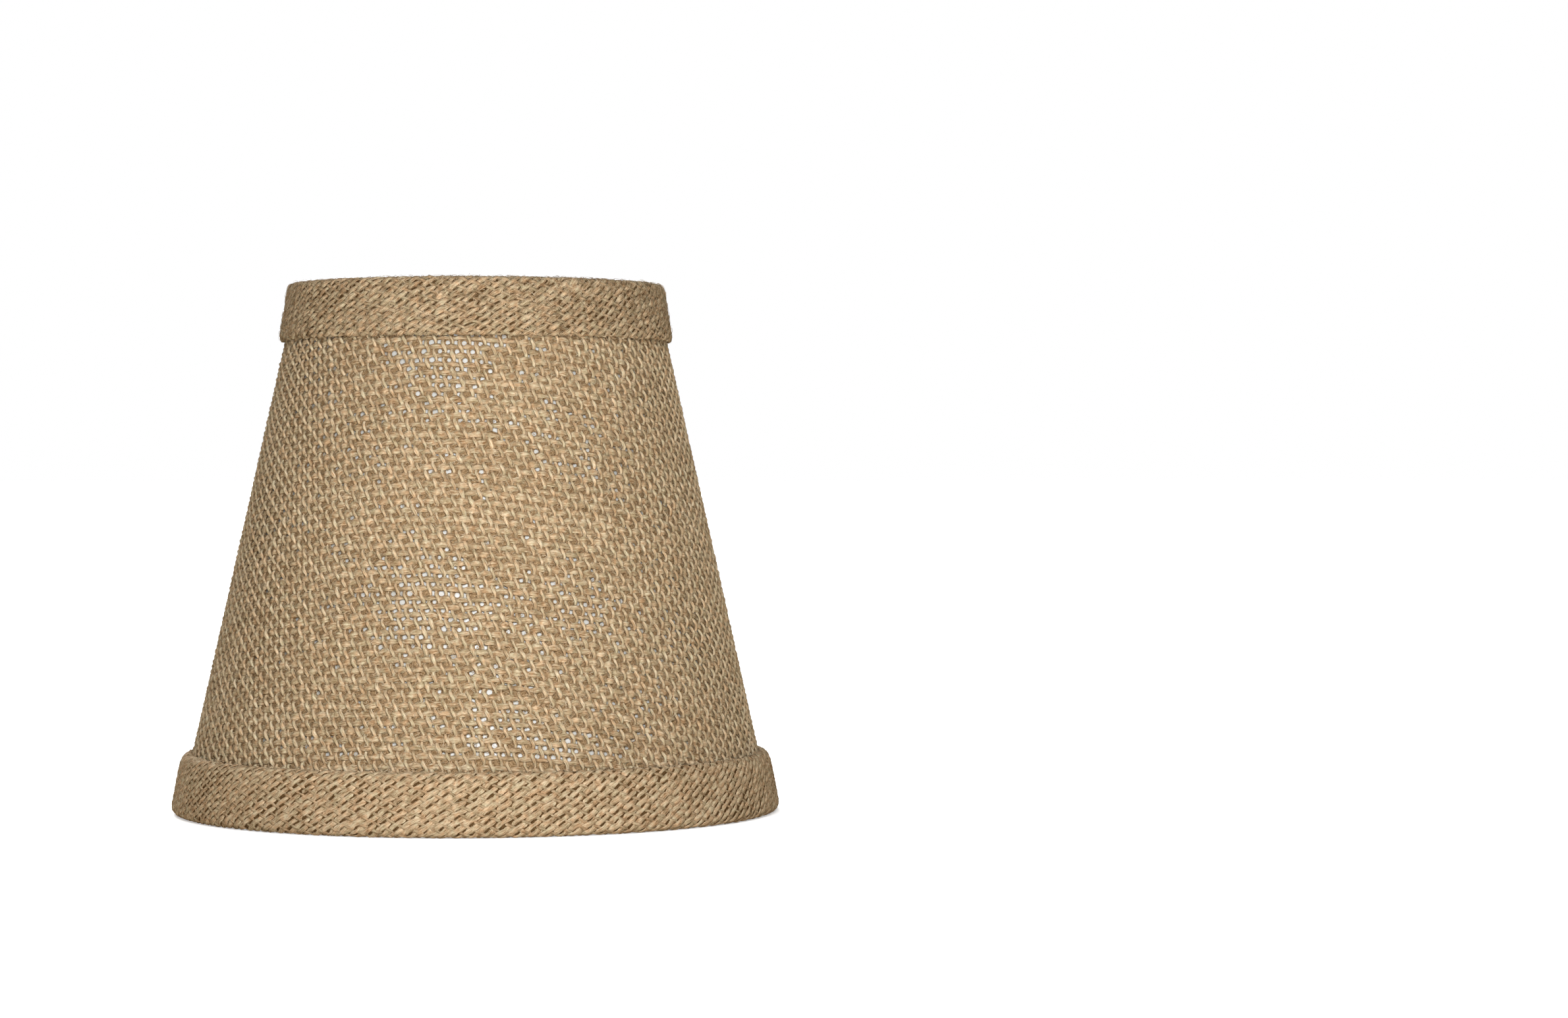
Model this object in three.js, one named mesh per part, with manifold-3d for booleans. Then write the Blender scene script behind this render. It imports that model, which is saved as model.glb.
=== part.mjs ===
// A small burlap lamp shade that clips onto a candle bulb.
//
// Millimetres, +Z up. The origin is at the centre of the bottom rim, and the lap of the cover is at +Y.
// The shell is a burlap cover glued to a white styrene liner, stretched between two wire rings. A folded
// burlap trim closes each edge. A dropped strap crosses the top ring along X. A saddle swivels under it on
// a rivet, and holds a pin along X, on which two sprung wire loops spread to grip the bulb.

import * as THREE from "three";
import { mergeVertices } from "three/addons/utils/BufferGeometryUtils.js";
import Module from "manifold-3d";

// Shell
const height = 132.2;
const coverFootRadius = 74.1; // outside radius of the cover where its cone meets z = 0
const taper = 0.2238; // radius lost for each millimetre of height
const coverThickness = 0.9;
const linerThickness = 0.4;
const gap = 0.3; // between pieces that touch on the real shade
const foldThickness = 1.0; // trim over each edge
const lapWidth = 9; // where the ends of the cover overlap, at the back
const lapThickness = 0.8;
const lapRise = 1.2; // space between the lap and the trims

// Trims
const topTrimDepth = 14.6;
const topTrimFoot = 0.5; // thickness at the free edge
const topTrimRadius = 49.45; // outside radius, where its cone meets its free edge
const topTrimLean = 0.165; // radius lost for each millimetre of height
const bottomTrimDepth = 15.6;
const bottomTrimLean = 0.19;
const rimRadius = 76.2; // the widest point of the shade
const rimCorner = 1.8; // radius of the bottom fold
const turnIn = 10.5; // depth of each trim inside the shade
const turnInThickness = 0.9;

// Wire rings and strap
const ringWire = 1.0; // wire radius
const strapWidth = 8;
const strapThickness = 1.2;
const strapReach = 42.5; // half length
const strapDrop = 9.6;
const strapBendOuter = 36; // where the strap leaves the level at each end
const strapBendInner = 17; // where it is level again in the middle
const notchClearance = 0.6;

// Clip
const saddleWidth = 8;
const saddlePlate = 1.0;
const earThickness = 0.9;
const earInside = 11.4; // half the distance between the ears
const rivetRadius = 1.5;
const rivetHole = 1.8;
const rivetHeadRadius = 3.2;
const rivetHeadHeight = 1.7;
const rivetTailRadius = 2.6;
const rivetTailHeight = 1.0;
const pinRadius = 1.0;
const pinHole = 1.3;
const pinHeadRadius = 1.8;
const pinHeadLength = 0.8;
const pinDrop = 3.0; // from the plate's underside to the pin's axis
const loopWire = 0.65; // wire radius
const coilRadius = 2.0; // centreline of the spring coils on the pin
const coilPitch = 1.6;
const coilTurns = 1.25;
const tailLength = 3.4;
const frontCoilAt = 10.15; // where the wire leaves its coil, from the middle
const backCoilAt = 6.25;

// Facets
const around = 60; // facets round the shade
const wireSides = 6;
const smallAround = 20;
const loopSteps = 116;

// Heights that follow
const ringDrop = foldThickness + gap + ringWire;
const bottomRingZ = ringDrop;
const topRingZ = height - ringDrop;
const coverBottom = foldThickness + gap;
const coverTop = height - foldThickness - gap;
const topTrimEdge = height - topTrimDepth;
const strapEndZ = topRingZ - ringWire - gap - strapThickness / 2;
const strapMiddleZ = strapEndZ - strapDrop;
const saddleTop = strapMiddleZ - strapThickness / 2 - gap;
const plateUnderside = saddleTop - saddlePlate;
const pinZ = plateUnderside - pinDrop;

const coverRadius = (z) => coverFootRadius - taper * z;
const linerOuter = (z) => coverRadius(z) - coverThickness - gap;
const linerInner = (z) => linerOuter(z) - linerThickness;
const ringRadius = (z) => linerInner(z) - gap - ringWire * Math.hypot(1, taper);

// Materials
const burlap = new THREE.MeshStandardMaterial({ color: 0xba9f7b, roughness: 0.95, metalness: 0 });
const trimBurlap = new THREE.MeshStandardMaterial({ color: 0xb29570, roughness: 0.95, metalness: 0 });
const styrene = new THREE.MeshStandardMaterial({ color: 0xf2efe8, roughness: 0.45, metalness: 0 });
const whiteWire = new THREE.MeshStandardMaterial({ color: 0xeae6dc, roughness: 0.4, metalness: 0 });
const nickel = new THREE.MeshStandardMaterial({ color: 0xc9c5bc, roughness: 0.28, metalness: 1 });
const springSteel = new THREE.MeshStandardMaterial({ color: 0xb9a06a, roughness: 0.3, metalness: 1 });

// Solids
const wasm = await Module();
wasm.setup();

function toSolid(geometry) {
  const bare = geometry.clone();
  bare.deleteAttribute("normal");
  bare.deleteAttribute("uv");
  const merged = mergeVertices(bare, 1e-4);
  return new wasm.Manifold(
    new wasm.Mesh({
      numProp: 3,
      vertProperties: new Float32Array(merged.attributes.position.array),
      triVerts: new Uint32Array(merged.index.array),
    }),
  );
}

function toGeometry(solid) {
  const mesh = solid.getMesh();
  const geometry = new THREE.BufferGeometry();
  geometry.setAttribute("position", new THREE.BufferAttribute(mesh.vertProperties, 3));
  geometry.setIndex(new THREE.BufferAttribute(mesh.triVerts, 1));
  geometry.computeVertexNormals();
  return geometry;
}

const cut = (body, ...tools) =>
  toGeometry(tools.reduce((rest, tool) => rest.subtract(toSolid(tool)), toSolid(body)));

// A closed outline of [radius, height] points turned about Z, walked with the solid on its left.
function revolve(outline, segments = around) {
  const points = outline.map(([r, z]) => new THREE.Vector2(r, z));
  points.push(points[0].clone());
  return new THREE.LatheGeometry(points, segments).rotateX(Math.PI / 2);
}

// Points of a Path as [radius, height] pairs.
const outlineOf = (path, divisions = 3) => path.getPoints(divisions).map((p) => [p.x, p.y]);

function box(x0, x1, y0, y1, z0, z1) {
  const shape = new THREE.BoxGeometry(x1 - x0, y1 - y0, z1 - z0);
  return shape.translate((x0 + x1) / 2, (y0 + y1) / 2, (z0 + z1) / 2);
}

// A cylinder along Z or X, centred at the given point.
function rod(radius, length, x, y, z, alongX = false) {
  const shape = new THREE.CylinderGeometry(radius, radius, length, smallAround);
  if (alongX) shape.rotateZ(Math.PI / 2);
  else shape.rotateX(Math.PI / 2);
  return shape.translate(x, y, z);
}

// A side view in X and Z given as a flat strip of constant thickness about a centreline, made
// `width` deep along Y.
function strip(centreline, thickness, width) {
  const side = (offset) =>
    centreline.map((p, i) => {
      const before = centreline[Math.max(i - 1, 0)];
      const after = centreline[Math.min(i + 1, centreline.length - 1)];
      const along = after.clone().sub(before).normalize();
      return new THREE.Vector2(p.x - along.y * offset, p.y + along.x * offset);
    });
  const outline = [...side(-thickness / 2), ...side(thickness / 2).reverse()];
  const shape = new THREE.Shape(outline);
  const solid = new THREE.ExtrudeGeometry(shape, { depth: width, bevelEnabled: false, steps: 1 });
  return solid.rotateX(Math.PI / 2).translate(0, width / 2, 0);
}

// Round wire along a curve.
function wire(curve, radius, steps) {
  const section = new THREE.Shape();
  for (let i = 0; i < wireSides; i += 1) {
    const angle = (2 * Math.PI * i) / wireSides;
    const x = radius * Math.cos(angle);
    const y = radius * Math.sin(angle);
    if (i === 0) section.moveTo(x, y);
    else section.lineTo(x, y);
  }
  return new THREE.ExtrudeGeometry(section, { steps, bevelEnabled: false, extrudePath: curve });
}

// Shell pieces
function coneShell(outer, thickness, z0, z1) {
  return revolve([
    [outer(z0) - thickness, z0],
    [outer(z0), z0],
    [outer(z1), z1],
    [outer(z1) - thickness, z1],
  ]);
}

// The cover is one ring with the lap standing on it between the trims, at the back.
function fabricCover() {
  const skin = coneShell(coverRadius, coverThickness, coverBottom, coverTop);
  const lapOuter = (z) => coverRadius(z) + lapThickness;
  const lapSkin = coneShell(
    lapOuter,
    lapThickness + coverThickness / 2,
    bottomTrimDepth + lapRise,
    topTrimEdge - lapRise,
  );
  const strap = box(-lapWidth / 2, lapWidth / 2, 0, rimRadius * 2, 0, height);
  return toGeometry(toSolid(skin).add(toSolid(lapSkin).intersect(toSolid(strap))));
}

const styreneLiner = () => coneShell(linerOuter, linerThickness, coverBottom, coverTop);

const wireRing = (z) =>
  new THREE.TorusGeometry(ringRadius(z), ringWire, wireSides, around).translate(0, 0, z);

// Outer leg, rounded top fold, and a turn-in that passes inside the ring and lies on the liner.
// It is notched where the strap passes.
function topTrim() {
  const edge = topTrimEdge;
  const outer = (z) => topTrimRadius - topTrimLean * (z - edge);
  const inner = (z) => coverRadius(z) + gap;
  const insideWire = ringRadius(topRingZ) - ringWire - gap;
  const foldInside = height - foldThickness;
  const turnEdge = height - turnIn;
  const turnOuter = linerInner(turnEdge) - gap;
  const corner = 1.4;
  const path = new THREE.Path();
  path.moveTo(inner(edge), edge);
  path.lineTo(inner(edge) + topTrimFoot, edge);
  path.quadraticCurveTo(outer(edge), edge + 0.5, outer(edge + 2.2), edge + 2.2);
  path.lineTo(outer(height - corner), height - corner);
  path.quadraticCurveTo(outer(height) - 0.1, height, outer(height) - corner, height);
  path.lineTo(insideWire - turnInThickness + corner, height);
  path.quadraticCurveTo(
    insideWire - turnInThickness,
    height,
    insideWire - turnInThickness,
    height - corner,
  );
  path.lineTo(insideWire - turnInThickness, topRingZ - ringWire);
  path.lineTo(turnOuter - turnInThickness, turnEdge);
  path.lineTo(turnOuter, turnEdge);
  path.lineTo(insideWire, topRingZ - ringWire);
  path.lineTo(insideWire, foldInside);
  path.lineTo(inner(foldInside), foldInside);
  const body = revolve(outlineOf(path));
  const halfNotch = strapWidth / 2 + notchClearance;
  const notchTop = strapEndZ + strapThickness / 2 + gap;
  const notchEnd = turnOuter + 0.1;
  return cut(
    body,
    box(-notchEnd, 1 - insideWire * 0.8, -halfNotch, halfNotch, turnEdge - 1, notchTop),
    box(insideWire * 0.8, notchEnd, -halfNotch, halfNotch, turnEdge - 1, notchTop),
  );
}

// The bottom trim is thicker. Its outside leans in with the cone, ends in a round shoulder, and its fold
// is flat underneath, where the shade stands.
function bottomTrim() {
  const inner = (z) => coverRadius(z) + gap;
  const insideWire = ringRadius(bottomRingZ) - ringWire - gap;
  const shoulder = bottomTrimDepth - 4.4;
  const outer = (z) => rimRadius - bottomTrimLean * (z - rimCorner);
  const path = new THREE.Path();
  path.moveTo(insideWire - turnInThickness + rimCorner, 0);
  path.lineTo(rimRadius - rimCorner, 0);
  path.absarc(rimRadius - rimCorner, rimCorner, rimCorner, -Math.PI / 2, 0, false);
  path.lineTo(outer(shoulder), shoulder);
  path.quadraticCurveTo(
    outer(shoulder + 3.4),
    shoulder + 3.4,
    inner(bottomTrimDepth) + 1.2,
    bottomTrimDepth,
  );
  path.lineTo(inner(bottomTrimDepth), bottomTrimDepth);
  path.lineTo(inner(foldThickness), foldThickness);
  path.lineTo(insideWire, foldThickness);
  path.lineTo(insideWire, turnIn);
  path.lineTo(insideWire - turnInThickness, turnIn);
  path.lineTo(insideWire - turnInThickness, rimCorner);
  path.absarc(
    insideWire - turnInThickness + rimCorner,
    rimCorner,
    rimCorner,
    Math.PI,
    1.5 * Math.PI,
    false,
  );
  return revolve(outlineOf(path));
}

// Fitter pieces
function fitterCrossbar() {
  const half = [
    new THREE.Vector2(0, strapMiddleZ),
    ...bend(strapBendInner, strapMiddleZ, 1),
    ...bend(strapBendOuter, strapEndZ, -1),
    new THREE.Vector2(strapReach, strapEndZ),
  ];
  const mirrored = half
    .slice(1)
    .reverse()
    .map((p) => new THREE.Vector2(-p.x, p.y));
  const body = strip([...mirrored, ...half], strapThickness, strapWidth);
  return cut(body, rod(rivetHole, 10 * strapThickness, 0, 0, strapMiddleZ));
}

// A bend of the strap's centreline between the level and the slope, as a short arc.
function bend(x, z, turn) {
  const slope = Math.atan2(strapDrop, strapBendOuter - strapBendInner);
  const radius = 5;
  const tangent = radius * Math.tan(slope / 2);
  const points = [];
  for (let i = 0; i <= 4; i += 1) {
    const angle = (slope * i) / 4;
    if (turn > 0) {
      points.push(
        new THREE.Vector2(
          x - tangent + radius * Math.sin(angle),
          z + radius * (1 - Math.cos(angle)),
        ),
      );
    } else {
      points.unshift(
        new THREE.Vector2(
          x + tangent - radius * Math.sin(angle),
          z - radius * (1 - Math.cos(angle)),
        ),
      );
    }
  }
  return points;
}

function saddleRivet() {
  const headFoot = strapMiddleZ + strapThickness / 2 + gap;
  const tailTop = plateUnderside - gap;
  const tailFoot = tailTop - rivetTailHeight;
  const path = new THREE.Path();
  path.moveTo(0, tailFoot);
  path.lineTo(rivetTailRadius - 0.4, tailFoot);
  path.lineTo(rivetTailRadius, tailFoot + 0.4);
  path.lineTo(rivetTailRadius, tailTop);
  path.lineTo(rivetRadius, tailTop);
  path.lineTo(rivetRadius, headFoot);
  path.lineTo(rivetHeadRadius, headFoot);
  path.quadraticCurveTo(rivetHeadRadius * 0.9, headFoot + rivetHeadHeight, 0, headFoot + rivetHeadHeight);
  const points = path.getPoints(6);
  return new THREE.LatheGeometry(points, smallAround).rotateX(Math.PI / 2);
}

function clipSaddle() {
  const x = earInside + earThickness;
  const corner = 2;
  const earRadius = saddleWidth / 2;
  const foot = pinZ - earRadius;
  const shape = new THREE.Shape();
  shape.moveTo(-x, foot);
  shape.lineTo(-earInside, foot);
  shape.lineTo(-earInside, plateUnderside - corner + saddlePlate);
  shape.quadraticCurveTo(-earInside, plateUnderside, -earInside + corner - earThickness, plateUnderside);
  shape.lineTo(earInside - corner + earThickness, plateUnderside);
  shape.quadraticCurveTo(earInside, plateUnderside, earInside, plateUnderside - corner + saddlePlate);
  shape.lineTo(earInside, foot);
  shape.lineTo(x, foot);
  shape.lineTo(x, saddleTop - corner);
  shape.quadraticCurveTo(x, saddleTop, x - corner, saddleTop);
  shape.lineTo(corner - x, saddleTop);
  shape.quadraticCurveTo(-x, saddleTop, -x, saddleTop - corner);
  const body = new THREE.ExtrudeGeometry(shape, {
    depth: saddleWidth,
    bevelEnabled: false,
    curveSegments: 5,
  });
  body.rotateX(Math.PI / 2).translate(0, saddleWidth / 2, 0);
  // The ears end round about the pin.
  const keep = new THREE.CylinderGeometry(earRadius, earRadius, 4 * x, smallAround)
    .rotateZ(Math.PI / 2)
    .translate(0, 0, pinZ);
  const upper = box(-2 * x, 2 * x, -saddleWidth, saddleWidth, pinZ, height);
  const rounded = toSolid(body).intersect(toSolid(keep).add(toSolid(upper)));
  const drilled = rounded
    .subtract(toSolid(rod(pinHole, 4 * x, 0, 0, pinZ, true)))
    .subtract(toSolid(rod(rivetHole, 4 * saddlePlate, 0, 0, saddleTop)));
  return toGeometry(drilled);
}

function clipPin() {
  const end = earInside + earThickness + gap;
  const path = new THREE.Path();
  path.moveTo(0, -end - pinHeadLength);
  path.lineTo(pinHeadRadius - 0.3, -end - pinHeadLength);
  path.lineTo(pinHeadRadius, -end - pinHeadLength + 0.3);
  path.lineTo(pinHeadRadius, -end);
  path.lineTo(pinRadius, -end);
  path.lineTo(pinRadius, end);
  path.lineTo(pinHeadRadius, end);
  path.lineTo(pinHeadRadius, end + pinHeadLength - 0.3);
  path.lineTo(pinHeadRadius - 0.3, end + pinHeadLength);
  path.lineTo(0, end + pinHeadLength);
  return new THREE.LatheGeometry(path.getPoints(), smallAround)
    .rotateZ(-Math.PI / 2)
    .translate(0, 0, pinZ);
}

// One wire from tail to tail: a tail under the saddle's plate, a coil on the pin, a leg that bows out round
// the bulb, the rounded end of the loop, and the same again on the other side. `side` is -1 for the loop
// at the front and 1 for the one at the back.
function clipLoop(side, coilAt) {
  const coilAdvance = coilPitch * coilTurns;
  const half = [new THREE.Vector3(coilAt - coilAdvance, -side * tailLength, coilRadius)];
  const stepsPerTurn = 8;
  for (let i = coilTurns * stepsPerTurn; i >= 0; i -= 1) {
    const angle = (2 * Math.PI * i) / stepsPerTurn;
    const x = coilAt - coilPitch * (i / stepsPerTurn);
    half.push(new THREE.Vector3(x, side * coilRadius * Math.cos(angle), coilRadius * Math.sin(angle)));
  }
  // The leg, as [across, outwards, down]: it widens to the bulb's widest point and closes below it.
  const leg = [
    [coilAt + 0.2, 3.6, 5.5],
    [12.0, 9.4, 14],
    [13.2, 12.9, 24],
    [12.4, 11.6, 34],
    [8.4, 8.0, 42.5],
  ];
  leg.forEach(([x, y, down]) => half.push(new THREE.Vector3(x, side * y, -down)));
  const end = new THREE.Vector3(0, side * 7.4, -46.4);
  const mirrored = half.map((p) => new THREE.Vector3(-p.x, p.y, p.z)).reverse();
  const curve = new THREE.CatmullRomCurve3([...half, end, ...mirrored], false, "centripetal");
  return wire(curve, loopWire, loopSteps).translate(0, 0, pinZ);
}

// Assembly
const lampShade = new THREE.Group();
const shade = new THREE.Group();
const clip = new THREE.Group();
lampShade.add(shade, clip);

function place(group, name, geometry, material) {
  const mesh = new THREE.Mesh(geometry, material);
  mesh.name = name;
  group.add(mesh);
}

place(shade, "fabric_cover", fabricCover(), burlap);
place(shade, "styrene_liner", styreneLiner(), styrene);
place(shade, "top_ring", wireRing(topRingZ), whiteWire);
place(shade, "bottom_ring", wireRing(bottomRingZ), whiteWire);
place(shade, "top_trim", topTrim(), trimBurlap);
place(shade, "bottom_trim", bottomTrim(), trimBurlap);
place(shade, "fitter_crossbar", fitterCrossbar(), whiteWire);
place(clip, "saddle_rivet", saddleRivet(), nickel);
place(clip, "clip_saddle", clipSaddle(), nickel);
place(clip, "clip_pin", clipPin(), nickel);
place(clip, "clip_loop_front", clipLoop(-1, frontCoilAt), springSteel);
place(clip, "clip_loop_back", clipLoop(1, backCoilAt), springSteel);

export default lampShade;
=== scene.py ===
"""A small burlap lamp shade with a sprung bulb clip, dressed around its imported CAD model.

Metres, +Z up, the same frame as the CAD. Angles round the shade start at the front (-Y) and grow
towards +X. The cloth is woven yarn by yarn: the cover in its flat-cut pattern, which is then rolled
into the cone, and each trim as a bias strip, which is then folded over its edge.
"""

import math

import bmesh
import bpy
import numpy as np
from mathutils import Matrix, Vector


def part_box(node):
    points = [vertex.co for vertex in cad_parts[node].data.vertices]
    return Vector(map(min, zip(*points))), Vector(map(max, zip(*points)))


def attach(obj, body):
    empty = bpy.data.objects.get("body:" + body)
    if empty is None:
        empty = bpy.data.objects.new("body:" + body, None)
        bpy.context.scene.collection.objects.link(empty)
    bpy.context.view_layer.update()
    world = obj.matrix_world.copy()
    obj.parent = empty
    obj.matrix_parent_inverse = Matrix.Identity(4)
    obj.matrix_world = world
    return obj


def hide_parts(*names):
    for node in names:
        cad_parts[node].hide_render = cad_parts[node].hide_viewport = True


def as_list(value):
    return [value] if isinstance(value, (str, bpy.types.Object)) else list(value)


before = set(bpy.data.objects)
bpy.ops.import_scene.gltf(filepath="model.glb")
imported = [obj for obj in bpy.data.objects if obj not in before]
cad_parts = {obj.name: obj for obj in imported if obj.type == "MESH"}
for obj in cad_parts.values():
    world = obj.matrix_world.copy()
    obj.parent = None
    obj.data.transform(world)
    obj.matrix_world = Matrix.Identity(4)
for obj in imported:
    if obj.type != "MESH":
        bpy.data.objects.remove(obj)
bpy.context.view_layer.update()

MM = 0.001
SAME_LEVEL = 0.01 * MM


# ---- sizes from the frame

def node_points(node):
    return np.array([v.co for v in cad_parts[node].data.vertices])


def level_radii(node, top):
    """(height, inner radius, outer radius) of a round CAD node's highest or lowest ring of points."""
    points = node_points(node)
    level = points[:, 2].max() if top else points[:, 2].min()
    ring = points[np.abs(points[:, 2] - level) < SAME_LEVEL]
    radii = np.hypot(ring[:, 0], ring[:, 1])
    return float(level), float(radii.min()), float(radii.max())


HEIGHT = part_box("top_trim")[1].z
RIM_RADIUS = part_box("bottom_trim")[1].x
BOTTOM_TRIM_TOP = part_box("bottom_trim")[1].z
TOP_TRIM_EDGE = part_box("top_trim")[0].z
cover_z0, _, cover_r0 = level_radii("fabric_cover", top=False)
cover_z1, _, cover_r1 = level_radii("fabric_cover", top=True)
TAPER = (cover_r0 - cover_r1) / (cover_z1 - cover_z0)
HALF_ANGLE = math.atan(TAPER)
SIN, COS = math.sin(HALF_ANGLE), math.cos(HALF_ANGLE)
COVER_MIDDLE = 0.70 * MM  # depth of the cloth's middle under the cover's outer face


def cover_radius(z):
    return cover_r0 - TAPER * (z - cover_z0)


def outer_radius(node, z):
    """The outside radius of a round CAD node at a height."""
    points = node_points(node)
    radii, heights = np.hypot(points[:, 0], points[:, 1]), points[:, 2]
    outside = radii > cover_radius(heights) + 0.6 * MM
    radii, heights = radii[outside], heights[outside]
    levels = np.unique(heights.round(6))
    widest = [radii[np.abs(heights - level) < SAME_LEVEL].max() for level in levels]
    return float(np.interp(z, levels, widest))


# ---- random fields

def draws(seed):
    return np.random.default_rng(seed)


def smooth(share):
    """0 to 1 with flat ends."""
    return share * share * (3 - 2 * share)


def field(seed, cell):
    """Smooth noise over a plane, about -1 to 1, with features about `cell` metres wide."""
    size, strength = 128, 0.6
    lattice = draws(seed).standard_normal((size, size)) * strength

    def at(x, y):
        u, v = np.asarray(x) / cell + 37.0, np.asarray(y) / cell + 53.0
        i, j = np.floor(u).astype(int), np.floor(v).astype(int)
        fu, fv = smooth(u - i), smooth(v - j)
        i0, i1, j0, j1 = i % size, (i + 1) % size, j % size, (j + 1) % size
        low = lattice[i0, j0] * (1 - fu) + lattice[i1, j0] * fu
        high = lattice[i0, j1] * (1 - fu) + lattice[i1, j1] * fu
        return low * (1 - fv) + high * fv

    return at


# ---- meshes

class Strands:
    """Collects tubes, such as yarns and fibres, and makes them one mesh."""

    def __init__(self):
        self.points, self.quads, self.along, self.around, self.tone = [], [], [], [], []
        self.count = 0

    def add(self, rings, tone):
        """rings is (tubes, steps, sides, 3), and tone one number for each tube."""
        tubes, steps, sides, _ = rings.shape
        index = self.count + np.arange(tubes * steps * sides).reshape(tubes, steps, sides)
        nxt = np.roll(index, -1, axis=2)
        quads = np.stack([index[:, :-1], nxt[:, :-1], nxt[:, 1:], index[:, 1:]], axis=-1)
        self.quads.append(quads.reshape(-1, 4))
        self.points.append(rings.reshape(-1, 3))
        middle = rings.mean(axis=2)
        length = np.linalg.norm(np.diff(middle, axis=1), axis=2).cumsum(axis=1) / MM
        length = np.concatenate([np.zeros((tubes, 1)), length], axis=1) + 97.0 * tone[:, None]
        along = np.stack([length[:, :-1], length[:, :-1], length[:, 1:], length[:, 1:]], axis=-1)
        self.along.append(np.repeat(along[:, :, None, :], sides, axis=2).reshape(-1, 4))
        side = np.arange(sides) / sides
        around = np.stack([side, side + 1 / sides, side + 1 / sides, side], axis=-1)
        self.around.append(np.tile(around, (tubes * (steps - 1), 1)))
        self.tone.append(np.repeat(tone, steps * sides))
        self.count += tubes * steps * sides

    def make(self, name, material):
        quads = np.concatenate(self.quads)
        along, around = np.concatenate(self.along), np.concatenate(self.around)
        mesh = mesh_of(name, np.concatenate(self.points), quads)
        set_uv(mesh, "yarn", np.stack([along, around], axis=-1))
        set_uv(mesh, "OFBake", self.packed(along, around))
        tones = mesh.attributes.new("tone", "FLOAT", "POINT")
        tones.data.foreach_set("value", np.concatenate(self.tone).astype(np.float32))
        return dressed(mesh, material)

    @staticmethod
    def packed(along, around):
        """Lays every step of every tube in rows over a square, for baking."""
        step = np.abs(along[:, 2] - along[:, 0])
        sides = np.round(1 / np.maximum(around[:, 1] - around[:, 0], 1e-6)).astype(int)
        # The quads of one step share a place along the row, and stand above each other in it.
        lead = np.isclose(around[:, 0], 0)
        group = np.cumsum(lead) - 1
        lengths = step[lead]
        total = lengths.sum()
        rows = max(1, int(math.sqrt(total / 3.2)))
        row_length = total / rows * 1.01
        start = np.concatenate([[0], np.cumsum(lengths)[:-1]])
        row = np.minimum(np.floor(start / row_length), rows - 1)
        x0 = (start - row * row_length) / (row_length + lengths.max())
        x1 = x0 + lengths / (row_length + lengths.max())
        u = np.stack([x0[group], x0[group], x1[group], x1[group]], axis=-1)
        v = (row[group][:, None] + 0.04 + 0.92 * around) / rows
        return np.stack([u, v], axis=-1)


def mesh_of(name, points, faces):
    """A smooth mesh from arrays of points and of same-sided faces."""
    faces = np.asarray(faces)
    mesh = bpy.data.meshes.new(name)
    mesh.vertices.add(len(points))
    mesh.vertices.foreach_set("co", np.asarray(points, np.float32).ravel())
    count, sides = faces.shape
    mesh.loops.add(count * sides)
    mesh.loops.foreach_set("vertex_index", faces.astype(np.int32).ravel())
    mesh.polygons.add(count)
    mesh.polygons.foreach_set("loop_start", np.arange(0, count * sides, sides, dtype=np.int32))
    mesh.polygons.foreach_set("loop_total", np.full(count, sides, np.int32))
    mesh.polygons.foreach_set("use_smooth", np.ones(count, bool))
    mesh.update(calc_edges=True)
    mesh.validate()
    return mesh


def set_uv(mesh, name, coordinates):
    layer = mesh.uv_layers.new(name=name)
    layer.data.foreach_set("uv", np.asarray(coordinates, np.float32).ravel())


def dressed(mesh, material):
    """The object that shows a mesh."""
    piece = bpy.data.objects.new(mesh.name, mesh)
    bpy.context.scene.collection.objects.link(piece)
    mesh.materials.append(material)
    return piece


def piece_of(name, points, faces, material):
    return dressed(mesh_of(name, points, faces), material)


def around(theta, r, z):
    return np.stack(np.broadcast_arrays(np.sin(theta) * r, -np.cos(theta) * r, z), -1)


def unit(vectors):
    return vectors / np.maximum(np.linalg.norm(vectors, axis=-1, keepdims=True), 1e-12)


def tube(path, normals, half_width, half_height, sides):
    """Rings of elliptical tubes along paths (tubes, steps, 3), their flat side along the normals. The
    first point of each ring is underneath."""
    along = unit(np.gradient(path, axis=1))
    across = unit(np.cross(along, normals))
    up = np.cross(across, along)
    angle = -math.pi / 2 + 2 * math.pi * np.arange(sides) / sides
    wide = half_width[..., None, None] * np.cos(angle)[:, None]
    high = half_height[..., None, None] * np.sin(angle)[:, None]
    return path[..., None, :] + across[..., None, :] * wide + up[..., None, :] * high


def grid_faces(rows, columns, closed):
    """Quads of a grid of points, rows by columns, whose columns may close into a ring."""
    index = np.arange(rows * columns).reshape(rows, columns)
    right = np.roll(index, -1, axis=1)
    if not closed:
        index, right = index[:, :-1], right[:, :-1]
    quads = np.stack([index[:-1], right[:-1], right[1:], index[1:]], axis=-1)
    return quads.reshape(-1, 4)


# ---- cloth surfaces

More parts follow.
